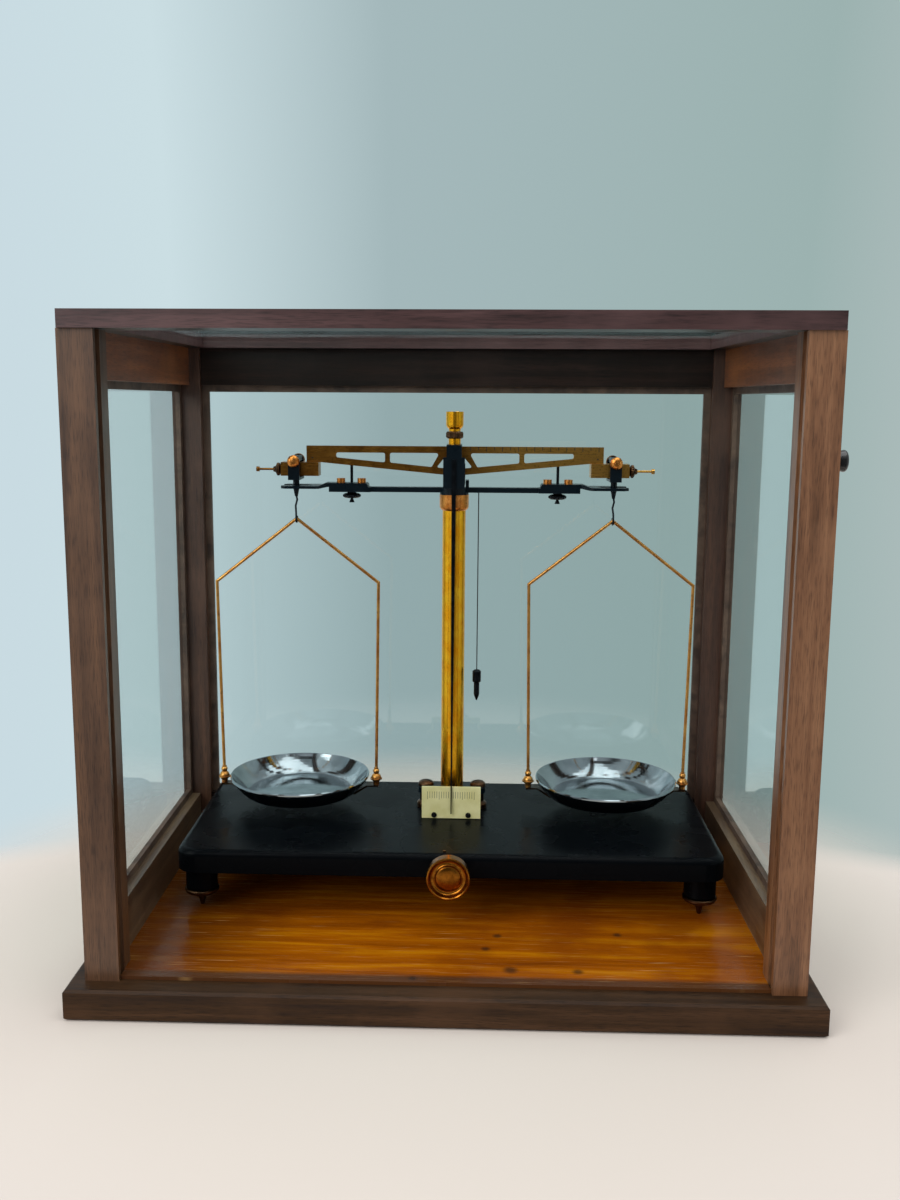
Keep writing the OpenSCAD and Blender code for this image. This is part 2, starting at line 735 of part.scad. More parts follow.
module arrest_pins() color([0.05, 0.05, 0.06])
  on_balance() for (s = [-1, 1]) translate([s * pin_x, pin_y, 0]) {
    translate([0, 0, z_arm]) cylinder(d = pin_d, h = z_stud - pin_gap - z_arm);
    translate([0, 0, z_arm - 7.4]) cylinder(d = pin_d, h = 7.4);
    translate([0, 0, z_arm - 7.4]) cylinder(d1 = 3.6, d2 = 2.4, h = 1.8);
  }

module pin_nuts() color([0.10, 0.09, 0.08])
  on_balance() for (s = [-1, 1], r = pin_nut_d / 2) translate([s * pin_x, pin_y, z_arm - 4.4]) difference() {
    rotate_extrude() polygon([[0, 0], [r - 1.1, 0], [r, 0.7], [r, 2.3], [r - 1.1, 3], [pin_nut_d * 0.26, 3.4],
      [pin_nut_d * 0.26, 4.4], [0, 4.4]]);
    translate([0, 0, -1]) cylinder(d = pin_d, h = 8);
  }

module knob_bush() color(brass())
  on_balance() {
    translate([0, 0, z_shaft]) difference() {
      union() {
        along_y(bush_d, -base_front, -base_front + 8);
        along_y(bush_d + 3, -base_front - 1.6, -base_front);
      }
      along_y(shaft_d + 2 * pin_play, -base_front - 3, -base_front + 9);
    }
    translate([-2.8, -base_front + 5.5, z_base]) cylinder(d = 2, h = 0.9);
  }

// Dished knob: a raised rim, a ring groove and a domed middle
module arrest_knob() color(brass())
  on_balance() translate([0, -base_front - knob_out, z_shaft]) rotate([-90, 0, 0]) difference() {
    r = knob_d / 2;
    dome = [for (a = [0 : 10 : 90]) [0.56 * r * sin(a), dish * (0.6 - 0.3 * cos(a))]];
    groove = [for (a = [15 : 15 : 180]) [0.56 * r + 0.14 * r * (1 - cos(a)), dish * (0.6 + 0.4 * sin(a))]];
    rotate_extrude($fn = 72) polygon(concat(dome, groove,
      [[0.89 * r, 0.5], [0.93 * r, 0], [r - 0.3, 0.2], [r, 1],
      [r, knob_t - 1.2], [r - 1.2, knob_t - 0.2], [6, knob_t], [5, knob_t + 1.6], [0, knob_t + 1.6]]));
    translate([0, 0, dish + 1.6]) cylinder(d = shaft_d, h = knob_t + 2);
  }

// The shaft from the knob to the lug under the pillar, with the eccentric that lifts the rod
module arrest_shaft() color([0.55, 0.56, 0.58])
  on_balance() translate([0, 0, z_shaft]) {
    along_y(shaft_d, -base_front - knob_out + dish + 1.6, -rod_d / 2 - 0.5);
    translate([-throw_r * cos(45), 0, -throw_r * sin(45)]) along_y(cam_d, -rod_d / 2 - 0.5, rod_d / 2 + 0.5);
    along_y(shaft_d, rod_d / 2 + 0.5, 11.5);
  }

z_rod = z_shaft - throw_r * sin(45) + cam_d / 2 + 0.1;

module lifting_rod() color([0.60, 0.60, 0.62])
  on_balance() translate([0, 0, z_rod]) cylinder(d = rod_d, h = z_head + 2.2 - z_rod);

// The block that carries the two planes under the centre knife
module bearing_block() color(lacquer())
  on_balance() difference() {
    block([-bearing_w / 2, -12.5, z_head + 2.2], [bearing_w / 2, 12.5, z_knife - 2]);
    block([-bearing_w / 2 - 1, -5, z_head + 6.4], [bearing_w / 2 + 1, 5, z_knife + 1]);
  }

module bearing_planes() color([0.55, 0.30, 0.22])
  on_balance() for (s = [-1, 1]) block([-bearing_w / 2 + 1, s * 8.75 - 3.2, z_knife - 2],
    [bearing_w / 2 - 1, s * 8.75 + 3.2, z_knife - 0.05]);

// Beam

// Height of the beam's lower edge at a distance from the centre
function low_edge(x) = z_knife + beam_top - beam_mid_h + (beam_mid_h - beam_end_h) 
  * (x - slope_from) / (slope_to - slope_from);

module beam_windows() {
  top = z_knife + beam_top - beam_rim - 0.2;
  low = beam_rim;
  post = 44.2;
  polygon(soft_corners([[post + 1.6, top], [78.2, top], [78.2, low_edge(78) + low],
    [post + 1.6, low_edge(post) + low]], 1.3));
  polygon(soft_corners([[9.9, top], [post - 1.6, top], [post - 1.6, low_edge(post) + low],
    [15.1, low_edge(15) + low]], 1.3));
  polygon(soft_corners([[5.4, top - 1.6], [11.9, low_edge(12) + low], [5.4, low_edge(6) + low]], 0.8));
}

// The same corners, each cut by a short arc of the given radius
function soft_corners(p, r) = [for (k = [0 : len(p) - 1])
  let (a = p[(k + len(p) - 1) % len(p)], b = p[k], c = p[(k + 1) % len(p)],
    u = (a - b) / norm(a - b), v = (c - b) / norm(c - b), half = acos(u * v) / 2,
    m = b + (u + v) / norm(u + v) * r / sin(half), s = m - b,
    side = sign(u.x * v.y - u.y * v.x), mid = atan2(-s.y, -s.x))
  for (t = [-1 : 0.5 : 1]) m + r * [cos(mid - side * t * (90 - half)), sin(mid - side * t * (90 - half))]];

module beam() color([0.50, 0.33, 0.13])
  on_balance() difference() {
    union() {
      both_sides() difference() {
        upright(beam_t) polygon([[0, z_knife + beam_top], [beam_half, z_knife + beam_top],
          [beam_half, low_edge(slope_to)], [slope_to, low_edge(slope_to)], [slope_from, low_edge(slope_from)],
          [0, low_edge(slope_from)]]);
        upright(beam_t + 2) beam_windows();
      }
      for (s = [-1, 1]) translate([s * pin_x, 0, z_stud + 1]) along_y(2, 0, pin_y + 1.5);
    }
    knife_prism(30);
  }

module knife_prism(len_y) {
  upright(len_y) polygon([[0, z_knife], [knife_half, z_knife + 3.1], [-knife_half, z_knife + 3.1]]);
}

module centre_knife() color([0.62, 0.63, 0.65])
  on_balance() knife_prism(centre_knife_len);

// Bridges the bearing block from the beam to the pointer in front
module beam_saddle() color(lacquer())
  on_balance() {
    difference() {
      union() {
        block([-4.9, -saddle_front, z_knife + 3.1], [4.9, 7, z_knife + beam_top + 1.5]);
        block([-7, -saddle_front, z_head + 0.6], [7, -saddle_front + 2.8, z_knife + 3.1]);
      }
      block([-10, -beam_t / 2, z_knife], [10, beam_t / 2, z_knife + beam_top]);
    }
  }

module end_blocks() color([0.52, 0.36, 0.14])
  on_balance() both_sides() {
    z0 = block_top - block_h;
    difference() {
      block([knife_x - 15.7, -block_d / 2, z0], [knife_x - 15.7 + block_len, block_d / 2, block_top]);
      end_knife(block_d + 2);
    }
    translate([0, 0, z0 + block_h / 2 - 0.4]) {
      along_x(nut_rod_d, knife_x - 15.7 + block_len - 0.5, knife_x + 26);
      along_x(3.3, knife_x + 24.3, knife_x + 26.3);
    }
  }

module end_knife(len_y) {
  translate([knife_x, 0, 0]) upright(len_y)
    polygon([[0, z_end], [knife_half, z_end - 4], [-knife_half, z_end - 4]]);
}

module end_knives() color([0.62, 0.63, 0.65])
  on_balance() both_sides() end_knife(end_knife_len);

module pointer() color([0.04, 0.04, 0.05])
  on_balance() {
    z0 = z_head + 3;
    block([-pointer_w / 2, -saddle_front - pointer_t, z0], [pointer_w / 2, -saddle_front, z_knife + 1.7]);
    translate([0, -saddle_front - pointer_t / 2, z0]) rotate([-pointer_lean, 0, 0]) upright(pointer_t - 0.12)
      polygon([[-pointer_w / 2, 0.2], [pointer_w / 2, 0.2], [pointer_w / 2, -4],
        [0.35, z_knife - pointer_len - z0], [-0.35, z_knife - pointer_len - z0], [-pointer_w / 2, -4]]);
  }

z_post_bob = z_knife + beam_top + 1.5;

module gravity_post() color(brass())
  on_balance() translate([0, 0, z_post_bob]) {
    cylinder(d = 8, h = 3.6);
    cylinder(d = bob_rod_d, h = 19.4);
    translate([0, 0, 19.4]) cylinder(d1 = bob_rod_d, d2 = bob_rod_d - 0.8, h = 0.5);
  }

// Knurled nut that locks the bob at its height
module gravity_nut() color([0.30, 0.24, 0.18])
  on_balance() translate([0, 0, z_post_bob + 3.7]) rotate_extrude() polygon([[bob_rod_d / 2 + pin_play, 0],
    [bob_nut_d / 2 - 0.5, 0], [bob_nut_d / 2, 0.5], [bob_nut_d / 2, 4], [bob_nut_d / 2 - 0.5, 4.5],
    [bob_rod_d / 2 + pin_play, 4.5]]);

// A cup with a neck
module gravity_bob() color(brass())
  on_balance() translate([0, 0, z_post_bob + 8.4]) rotate_extrude() polygon(concat(
    [[bob_rod_d / 2 + pin_play, 0], [3.9, 0], [3.9, 1.4]],
    [for (a = [-50 : 10 : 0]) [bob_d / 2 - 3.4 + 3.4 * cos(a), 4.6 + 3.4 * sin(a)]],
    [[bob_d / 2, bob_h], [bob_d / 2 - 0.8, bob_h], [bob_d / 2 - 1.3, bob_h - 2],
      [bob_rod_d / 2 + pin_play, bob_h - 2]]));

module balance_nut() {
  translate([knife_x - 15.7 + block_len + 0.3, 0, block_top - block_h / 2 - 0.4]) rotate([0, 90, 0])
    rotate_extrude() polygon([[nut_rod_d / 2 + pin_play, 0], [2.2, 0], [nut_d / 2, 1.2], [nut_d / 2, 3],
      [2.2, 3.9],
      [1.6, 5.4], [nut_rod_d / 2 + pin_play, 5.4]]);
}

module left_balance_nut() color([0.25, 0.20, 0.13]) on_balance() mirror([1, 0, 0]) balance_nut();

module right_balance_nut() color([0.25, 0.20, 0.13]) on_balance() balance_nut();

// Stirrups, bows and pans

// Frame round the beam's end, with the cone and the bent wire that hold the bow
module stirrup() {
  z0 = z_end - stirrup_drop;
  h = stirrup_w / 2;
  leg0 = stirrup_in / 2;
  leg1 = leg0 + stirrup_t;
  block([-h, -leg1, z0], [h, leg1, z0 + 1.6]);
  for (s = [-1, 1]) {
    block([-h, min(s * leg0, s * leg1), z0], [h, max(s * leg0, s * leg1), z_end]);
    translate([0, 0, z_end]) along_y(stirrup_w, min(s * leg0, s * leg1), max(s * leg0, s * leg1));
  }
  block([-3, -leg0 - 1, z_end + 0.05], [3, leg0 + 1, z_end + 3.2]);
  translate([0, 0, z_bow + 14.8]) cylinder(d1 = 2, d2 = 4.2, h = 5.6);
  translate([0, 0, z_bow + 20.4]) cylinder(d = 4.2, h = z0 - z_bow - 20.4 + 0.5);
  loop = (wire_d / 2 + hook_d / 2 + 0.16) / cos(atan2(shoulder_drop, shoulder_x));
  wire([[0, 0, z_bow + 15.5], [0.5, 0, z_bow + 12.6], [-0.5, -0.5, z_bow + 8.6], [0, -loop, z_bow + 4],
    [0, -loop, z_bow]], hook_d);
  for (s = [-1, 1]) translate([0, s * loop, z_bow]) sphere(d = 1.05 * hook_d);
  translate([0, loop, z_bow]) cylinder(d = hook_d, h = 1.6);
  translate([0, 0, z_bow]) rotate([0, 90, 0]) rotate([0, 0, -90]) rotate_extrude(angle = 180)
    translate([loop, 0]) circle(d = hook_d);
}

module left_stirrup() color(lacquer()) on_balance() translate([-knife_x, 0, 0]) stirrup();

module right_stirrup() color(lacquer()) on_balance() translate([knife_x, 0, 0]) stirrup();

// Domed front cap and rear ring on the bearing
module stirrup_cap() {
  y0 = stirrup_in / 2 + stirrup_t;
  translate([0, -y0, z_end]) rotate([90, 0, 0]) rotate_extrude()
    polygon(concat([[0, 0], [4, 0], [4, 1.2]], [for (a = [15 : 15 : 90]) [4 * cos(a), 1.2 + 2.2 * sin(a)]]));
  translate([0, y0, z_end]) rotate([-90, 0, 0]) rotate_extrude()
    polygon([[0, 0], [4.2, 0], [4.2, 2.2], [2.8, 2.6], [2.8, 1.6], [0, 1.6]]);
}

module left_stirrup_cap() color(copper()) on_balance() translate([-knife_x, 0, 0]) stirrup_cap();

module right_stirrup_cap() color(copper()) on_balance() translate([knife_x, 0, 0]) stirrup_cap();

// Bent wire with turned fittings at its ends: two balls, the lower one with a flange
module bow() {
  top = [0, 0, z_bow];
  foot = foot_pin - [0, 0, 10.5];
  low = foot_pin - [0, 0, 4];
  wire([low, knee, top, [-knee.x, 0, knee.z], [-low.x, 0, low.z]], wire_d);
  for (s = [-1, 1]) translate([s * foot.x, 0, foot.z]) rotate_extrude() polygon(concat(
    [[0, 0], [2.1, 0], [2.1, 1.6]],
    [for (a = [-50, -35, -22]) fit_ball * [cos(a), 1.35 + sin(a)]], [[fit_flange, 3.6], [fit_flange, 4.4]],
    [for (a = [0 : 15 : 60]) fit_ball * [cos(a), 1.35 + sin(a)]],
    [for (a = [-30 : 20 : 50]) [2.2 * cos(a), 9.4 + 2 * sin(a)]], [[1.6, 11.6], [0, 11.6]]));
}

module left_bow() color(copper()) on_balance() translate([-knife_x, 0, 0]) bow();

module right_bow() color(copper()) on_balance() translate([knife_x, 0, 0]) bow();

// The strap that a pan stands on, riveted into the bow's fittings
module pan_strap() {
  r = pan_flat_d / 2;
  zs = z_pan - pan_seat;
  foot = foot_pin - [0, 0, 10.5];
  both_sides() {
    upright(strap_w) polygon([[0, zs - strap_t], [r + 2.2, zs - strap_t], [pan_d / 2 - 0.8, zs + 4.6],
      [foot.x + 1.8, foot.z - strap_t], [foot.x + 1.8, foot.z], [pan_d / 2 - 1.6, zs + 5.4], [r + 1.4, zs],
      [0, zs]]);
    translate([foot.x, 0, foot.z - strap_t - 0.6]) cylinder(d = 3.2, h = 0.7);
  }
  translate([0, 0, zs - strap_t - 1.4]) cylinder(d = strap_hub_d, h = 1.6);
}

module left_pan_strap() color([0.20, 0.15, 0.11]) on_balance() translate([-knife_x, 0, 0]) pan_strap();

module right_pan_strap() color([0.20, 0.15, 0.11]) on_balance() translate([knife_x, 0, 0]) pan_strap();

// Dished pan: flat bottom, flared side and rolled rim
module pan() {
  r0 = pan_flat_d / 2;
  r1 = pan_d / 2;
  inner = [for (k = [0 : 8]) let (t = k / 8) [r0 + (r1 - 1.2 - r0) * t, pan_t + (pan_h - pan_t) * pow(t, 1.35)]];
  outer = [for (k = [8 : -1 : 0]) let (t = k / 8)
    [r0 + 0.8 + (r1 - r0 - 0.8) * t, (pan_h - 1.2) * pow(t, 1.35)]];
  translate([0, 0, z_pan]) rotate_extrude($fn = 72)
    polygon(concat([[0, pan_t]], inner, [[r1 - 0.5, pan_h + 0.2], [r1, pan_h - 0.4]], outer, [[0, 0]]));
}

module left_pan() color([0.80, 0.82, 0.84]) on_balance() translate([-knife_x, 0, 0]) pan();

module right_pan() color([0.80, 0.82, 0.84]) on_balance() translate([knife_x, 0, 0]) pan();

// Pointer scale

module scale_plate() color([0.80, 0.77, 0.55])
  on_balance() difference() {
    block([-scale_w / 2, -scale_front, z_base + 0.4],
      [scale_w / 2, -scale_front + scale_t, z_base + 0.4 + scale_h]);
    for (s = [-1, 1]) translate([s * scale_w * 0.29, 0, z_base + 2.8])
      along_y(1.8, -scale_front - 1, -scale_front + 3);
  }

module scale_bracket() color(lacquer())
  on_balance() difference() {
    y0 = -scale_front + scale_t;
    union() {
      block([-scale_w / 2 + 2, y0, z_base], [scale_w / 2 - 2, y0 + 1.4, z_base + scale_h - 4]);
      block([-scale_w / 2 + 2, y0, z_base], [scale_w / 2 - 2, y0 + 9, z_base + 1.6]);
    }
    for (s = [-1, 1]) translate([s * scale_w * 0.29, 0, z_base + 2.8]) along_y(1.8, y0 - 1, y0 + 3);
  }

module scale_screws() color([0.05, 0.05, 0.05])
  on_balance() for (s = [-1, 1]) translate([s * scale_w * 0.29, 0, z_base + 2.8]) difference() {
    union() {
      along_y(1.8, -scale_front - 0.5, -scale_front + scale_t + 1.2);
      along_y(3.6, -scale_front - 1, -scale_front);
    }
    translate([-2.5, -scale_front - 1.5, -0.25]) cube([5, 0.9, 0.5]);
  }

// Plumb line: a free thread swept along its route, with its bob

// Point at a share of the route, and the ring of a tube round it
function at(route, t) = let (s = t * (len(route) - 1), k = min(floor(s), len(route) - 2))
  route[k] * (1 - s + k) + route[k + 1] * (s - k);

function ring(c, r, n) = [for (k = [0 : n - 1]) c + r * [cos(360 * k / n), sin(360 * k / n), 0]];

module thread(route, d, rings, sides) {
  pts = [for (j = [0 : rings - 1], q = ring(at(route, j / (rings - 1)), d / 2, sides)) q];
  walls = [for (j = [0 : rings - 2], k = [0 : sides - 1])
    let (a = j * sides + k, b = j * sides + (k + 1) % sides) [a, b, b + sides, a + sides]];
  ends = [[for (k = [sides - 1 : -1 : 0]) k], [for (k = [0 : sides - 1]) (rings - 1) * sides + k]];
  polyhedron(pts, concat(walls, ends));
}

module plumb_line() color([0.12, 0.12, 0.12])
  on_balance() translate([plumb_x, 0, z_line]) thread(line_route, line_d, 66, 8);

module plumb_bob() color([0.05, 0.05, 0.06])
  on_balance() translate([plumb_x, 0, z_line + line_route[15].z - 21.4])
    rotate_extrude() polygon([[0, 0], [0.5, 0.3],
    [1.9, 4.2], [1.9, 12.4], [2.6, 13], [plumb_d / 2, 13.4], [plumb_d / 2, 20.4], [1.6, 21.4], [0, 21.4]]);

plinth();
floor_panel();
front_left_post();
front_right_post();
rear_posts();
top_side_rails();
bottom_side_rails();
rear_rails();
top_frame();
case_glass();
glazing_beads();
sash_clamp_leaf();
sash_clamp_knob();
base_plate();
rear_foot();
left_levelling_screw();
right_levelling_screw();
pillar_bridge();
bridge_spacers();
bridge_screws();
pillar_tube();
pillar_collar();
pillar_head();
arrest_arms();
end_forks();
arm_screws();
arrest_pins();
pin_nuts();
knob_bush();
arrest_knob();
arrest_shaft();
lifting_rod();
bearing_block();
bearing_planes();
beam();
beam_saddle();
centre_knife();
end_blocks();
end_knives();
pointer();
gravity_post();
gravity_nut();
gravity_bob();
left_balance_nut();
right_balance_nut();
left_stirrup();
right_stirrup();
left_stirrup_cap();
right_stirrup_cap();
left_bow();
right_bow();
left_pan_strap();
right_pan_strap();
left_pan();
right_pan();
scale_plate();
scale_bracket();
scale_screws();
plumb_line();
plumb_bob();
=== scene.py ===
import math

import bmesh
import bpy
from mathutils import Matrix, Vector


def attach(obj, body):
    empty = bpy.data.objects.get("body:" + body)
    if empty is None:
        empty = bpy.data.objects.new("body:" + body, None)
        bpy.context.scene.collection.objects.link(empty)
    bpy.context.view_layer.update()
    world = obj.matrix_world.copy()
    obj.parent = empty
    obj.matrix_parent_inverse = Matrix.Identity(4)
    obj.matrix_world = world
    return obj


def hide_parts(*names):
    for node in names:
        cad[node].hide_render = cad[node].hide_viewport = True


# A two-pan laboratory balance in a glazed mahogany case. The model brings the shapes; here are its finishes,
# its plumb line, engraving and knurling, and the camera, floor and light
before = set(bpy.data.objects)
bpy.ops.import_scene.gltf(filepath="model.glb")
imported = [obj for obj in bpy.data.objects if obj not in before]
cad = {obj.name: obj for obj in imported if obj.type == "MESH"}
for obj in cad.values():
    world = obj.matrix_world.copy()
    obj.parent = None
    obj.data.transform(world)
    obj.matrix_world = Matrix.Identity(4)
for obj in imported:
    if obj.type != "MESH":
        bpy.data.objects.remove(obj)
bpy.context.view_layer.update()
MM = 0.001

# The balance's own upright axis, and how far its end knives stand from it, in millimetres
BALANCE_X, BALANCE_Y = 1.2, 51.0
KNIFE_X = 105.0


def mm(x, y, z):
    """A point given in millimetres, in metres."""
    return Vector((x * MM, y * MM, z * MM))


def on_balance(x, y, z):
    """A point given in millimetres from the balance's own axis, in metres."""
    return mm(BALANCE_X + x, BALANCE_Y + y, z)


def new_object(name, data):
    """An object in the scene that shows the given data."""
    made = bpy.data.objects.new(name, data)
    bpy.context.scene.collection.objects.link(made)
    return made


# Camera: where the photograph was taken from. Its focal length and its shift are in pixels of the photograph

PHOTO_TALL = 1200
FOCAL_PX, SHIFT_PX = 1184.43, 16.02
SENSOR_MM = 36
CAMERA_PLACE = mm(14.845, -734.127, 338.179)
CAMERA_YAW, CAMERA_PITCH, CAMERA_ROLL = -0.0340, -0.1657, -0.0053


def look_from(place, yaw, pitch, roll):
    """The camera's matrix. Yaw turns it to the right, pitch lifts it and roll leans it, in radians."""
    level = math.cos(pitch)
    ahead = Vector((math.sin(yaw) * level, math.cos(yaw) * level, math.sin(pitch)))
    side = Vector((math.cos(yaw), -math.sin(yaw), 0))
    down = ahead.cross(side)
    right = math.cos(roll) * side + math.sin(roll) * down
    low = -math.sin(roll) * side + math.cos(roll) * down
    return Matrix.Translation(place) @ Matrix((right, -low, -ahead)).transposed().to_4x4()


lens = bpy.data.cameras.new("camera")
lens.sensor_width = SENSOR_MM
lens.lens = FOCAL_PX / PHOTO_TALL * SENSOR_MM
lens.shift_x = SHIFT_PX / PHOTO_TALL
lens.clip_start, lens.clip_end = 0.01, 50
camera = new_object("camera", lens)
camera.matrix_world = look_from(CAMERA_PLACE, CAMERA_YAW, CAMERA_PITCH, CAMERA_ROLL)
bpy.context.scene.camera = camera


# Materials

def linear(code):
    """An sRGB hex colour as the linear colour that Blender's sockets take."""
    parts = [int(code[i:i + 2], 16) / 255 for i in (0, 2, 4)]
    return tuple(c / 12.92 if c <= 0.04045 else ((c + 0.055) / 1.055) ** 2.4 for c in parts) + (1,)


def add(tree, kind, inputs=None, stops=(), **settings):
    """Adds a node with its settings and links.

    An input is a value, an output socket, or a node, which feeds it from its first output in use.
    stops are the places and hex codes of a colour ramp.
    """
    made = tree.nodes.new("ShaderNode" + kind)
    for name, value in settings.items():
        setattr(made, name, value)
    for name, value in (inputs or {}).items():
        if isinstance(value, bpy.types.Node):
            value = next(socket for socket in value.outputs if socket.enabled)
        if isinstance(value, bpy.types.NodeSocket):
            tree.links.new(value, made.inputs[name])
        else:
            made.inputs[name].default_value = value
    for _ in stops[2:]:
        made.color_ramp.elements.new(0.5)
    for k, (place, code) in enumerate(stops):
        made.color_ramp.elements[k].position = place
        made.color_ramp.elements[k].color = linear(code)
    return made


def new_material(name):
    """An empty material, its tree, and the object's coordinates in metres."""
    material = bpy.data.materials.new(name)
    material.use_nodes = True
    material.node_tree.nodes.clear()
    tree = material.node_tree
    return material, tree, add(tree, "TexCoord").outputs["Object"]


def per_mm(size):
    """The scale of a pattern whose features are so many millimetres wide."""
    return 1 / (size * MM)


def grain_scale(wide, long, along):
    """The scale of a pattern so many millimetres wide, and long in the directions named, such as Z."""
    return [per_mm(long if axis in along else wide) for axis in "XYZ"]


# Bands of the mahogany's figure are this many times as long as they are wide
FIGURE_STRETCH = 22
# Pores are about 0.25 mm wide and 4 mm long, drawn larger so that they show
PORE_WIDE, PORE_LONG = 0.6, 9
POLISH_PATCH = 40


def mahogany(name, dark, mid, light, along, roughness=0.42, coat=0.25, band=7, under=None, specular=0.5):
    """Varnished mahogany: straight brown figure with short dark pores along the grain.

    The old varnish is satin and uneven, paler where hands and polish wore it. band is the figure's width
    in millimetres, and under the colour of the painted shade on faces that look down.
    """
    material, tree, place = new_material(name)
    bands = add(tree, "Mapping", {"Vector": place, "Scale": grain_scale(band, band * FIGURE_STRETCH, along)})
    figure = add(tree, "TexNoise", {
        "Vector": bands, "Scale": 1.0, "Detail": 6.0, "Roughness": 0.62, "Distortion": 0.5})
    fine = add(tree, "Mapping", {"Vector": place, "Scale": grain_scale(PORE_WIDE, PORE_LONG, along)})
    pores = add(tree, "TexNoise", {"Vector": fine, "Scale": 1.0, "Detail": 2.0, "Roughness": 0.5})
    colour = add(tree, "ValToRGB", {"Fac": figure}, [(0.28, dark), (0.5, mid), (0.72, light)])
    in_pore = add(tree, "MapRange", {
        "Value": pores, "From Min": 0.34, "From Max": 0.5, "To Min": 0.45, "To Max": 0.0})
    colour = add(tree, "Mix", {"Factor": in_pore, "A": colour, "B": linear(dark)},
        data_type="RGBA", blend_type="MULTIPLY")
    patches = add(tree, "TexNoise", {"Vector": place, "Scale": per_mm(POLISH_PATCH), "Detail": 4.0})
    lightened = add(tree, "MapRange", {"Value": patches, "From Min": 0.52, "From Max": 0.72, "To Max": 0.45})
    colour = add(tree, "Mix", {"Factor": lightened, "A": colour, "B": linear(light)}, data_type="RGBA")
    if under:
        # Painted shade: faces that look down are made nearly black
        facing = add(tree, "SeparateXYZ", {"Vector": add(tree, "TexCoord").outputs["Normal"]})
        low = add(tree, "MapRange", {"Value": facing.outputs["Z"], "From Min": -0.4, "From Max": -0.8})
        colour = add(tree, "Mix", {"Factor": low, "A": colour, "B": linear(under)}, data_type="RGBA")
    rough = add(tree, "MapRange", {
        "Value": patches, "To Min": roughness - 0.1, "To Max": roughness + 0.14})
    bump = add(tree, "Bump", {"Height": pores, "Strength": 0.25, "Distance": 0.0002})
    surface = add(tree, "BsdfPrincipled", {
        "Base Color": colour, "Roughness": rough, "Normal": bump, "Coat Weight": coat,
        "Coat Roughness": 0.25, "Specular IOR Level": specular})
    add(tree, "OutputMaterial", {"Surface": surface})
    return material


# Polishing lines in the metal are some hundredths of a millimetre wide, drawn larger so that they show
POLISH_WIDE, POLISH_LONG = 0.5, 14
TARNISH_SPOT = 1.6
# Where the beam's colour begins to turn brighter towards its right half, and where it has turned
RIGHT_HALF_FROM, RIGHT_HALF_TO = 5 * MM, 45 * MM


def lacquered_metal(
        name, dull, bright, roughness, patch=9, streak="", spots=0.0, spot="2a1a0c", right_half_colour=None):
    """Metal that was polished, then lacquered: the colour wanders between dull and bright in soft patches.

    Fine lines break the shine along streak, and spots is the strength of the tarnish in the colour spot.
    The last argument, if given, is the brighter colour that the right-hand side turns to.
    """
    material, tree, place = new_material(name)
    cloud = add(tree, "TexNoise", {"Vector": place, "Scale": per_mm(patch), "Detail": 5.0, "Roughness": 0.6})
    colour = add(tree, "ValToRGB", {"Fac": cloud}, [(0.3, dull), (0.68, bright)])
    # The colour turns brighter towards the right-hand side
    if right_half_colour:
        across = add(tree, "SeparateXYZ", {"Vector": place})
        lightened = add(tree, "MapRange", {
            "Value": across.outputs["X"], "From Min": RIGHT_HALF_FROM, "From Max": RIGHT_HALF_TO})
        colour = add(tree, "Mix", {"Factor": lightened, "A": colour, "B": linear(right_half_colour)}, data_type="RGBA")
    fine = add(tree, "Mapping", {"Vector": place, "Scale": grain_scale(POLISH_WIDE, POLISH_LONG, streak)})
    lines = add(tree, "TexNoise", {"Vector": fine, "Scale": 1.0, "Detail": 3.0})
    dots = add(tree, "TexNoise", {"Vector": place, "Scale": per_mm(TARNISH_SPOT), "Detail": 1.0})
    tarnish = add(tree, "MapRange", {"Value": dots, "From Min": 0.6, "From Max": 0.7, "To Max": spots})
    colour = add(tree, "Mix", {"Factor": tarnish, "A": colour, "B": linear(spot)}, data_type="RGBA")
    rough = add(tree, "MapRange", {"Value": lines, "To Min": roughness * 0.7, "To Max": roughness * 1.4})
    bump = add(tree, "Bump", {"Height": lines, "Strength": 0.12, "Distance": 0.00004})
    surface = add(tree, "BsdfPrincipled", {
        "Base Color": colour, "Metallic": 1.0, "Roughness": rough, "Normal": bump})
    add(tree, "OutputMaterial", {"Surface": surface})
    return material


# Orange peel of the enamel, and the spacing of its dust grains, which are drawn at 0.7 mm so that they show
PEEL = 2.2
DUST_SPACING = 5.5
HAZE_PATCH = 30


def enamel(name, base, speck, roughness, specular, dust=0.25):
    """Old stoved black enamel or japan: a dulled gloss with a slight orange peel and settled dust."""
    material, tree, place = new_material(name)
    peel = add(tree, "TexNoise", {"Vector": place, "Scale": per_mm(PEEL), "Detail": 2.0})
    grains = add(tree, "TexVoronoi", {"Vector": place, "Scale": per_mm(DUST_SPACING), "Randomness": 1.0})
    dusty = add(tree, "MapRange", {
        "Value": grains, "From Min": 0.03, "From Max": 0.075, "To Min": dust, "To Max": 0.0})
    haze = add(tree, "TexNoise", {"Vector": place, "Scale": per_mm(HAZE_PATCH), "Detail": 5.0})
    colour = add(tree, "Mix", {"Factor": dusty, "A": linear(base), "B": linear(speck)}, data_type="RGBA")
    rough = add(tree, "MapRange", {
        "Value": haze, "From Min": 0.3, "From Max": 0.7,
        "To Min": roughness * 0.75, "To Max": roughness * 1.35})
    bump = add(tree, "Bump", {"Height": peel, "Strength": 0.1, "Distance": 0.0001})
    surface = add(tree, "BsdfPrincipled", {
        "Base Color": colour, "Roughness": rough, "Normal": bump, "Specular IOR Level": specular})
    add(tree, "OutputMaterial", {"Surface": surface})
    return material


GLASS_WAVE = 60


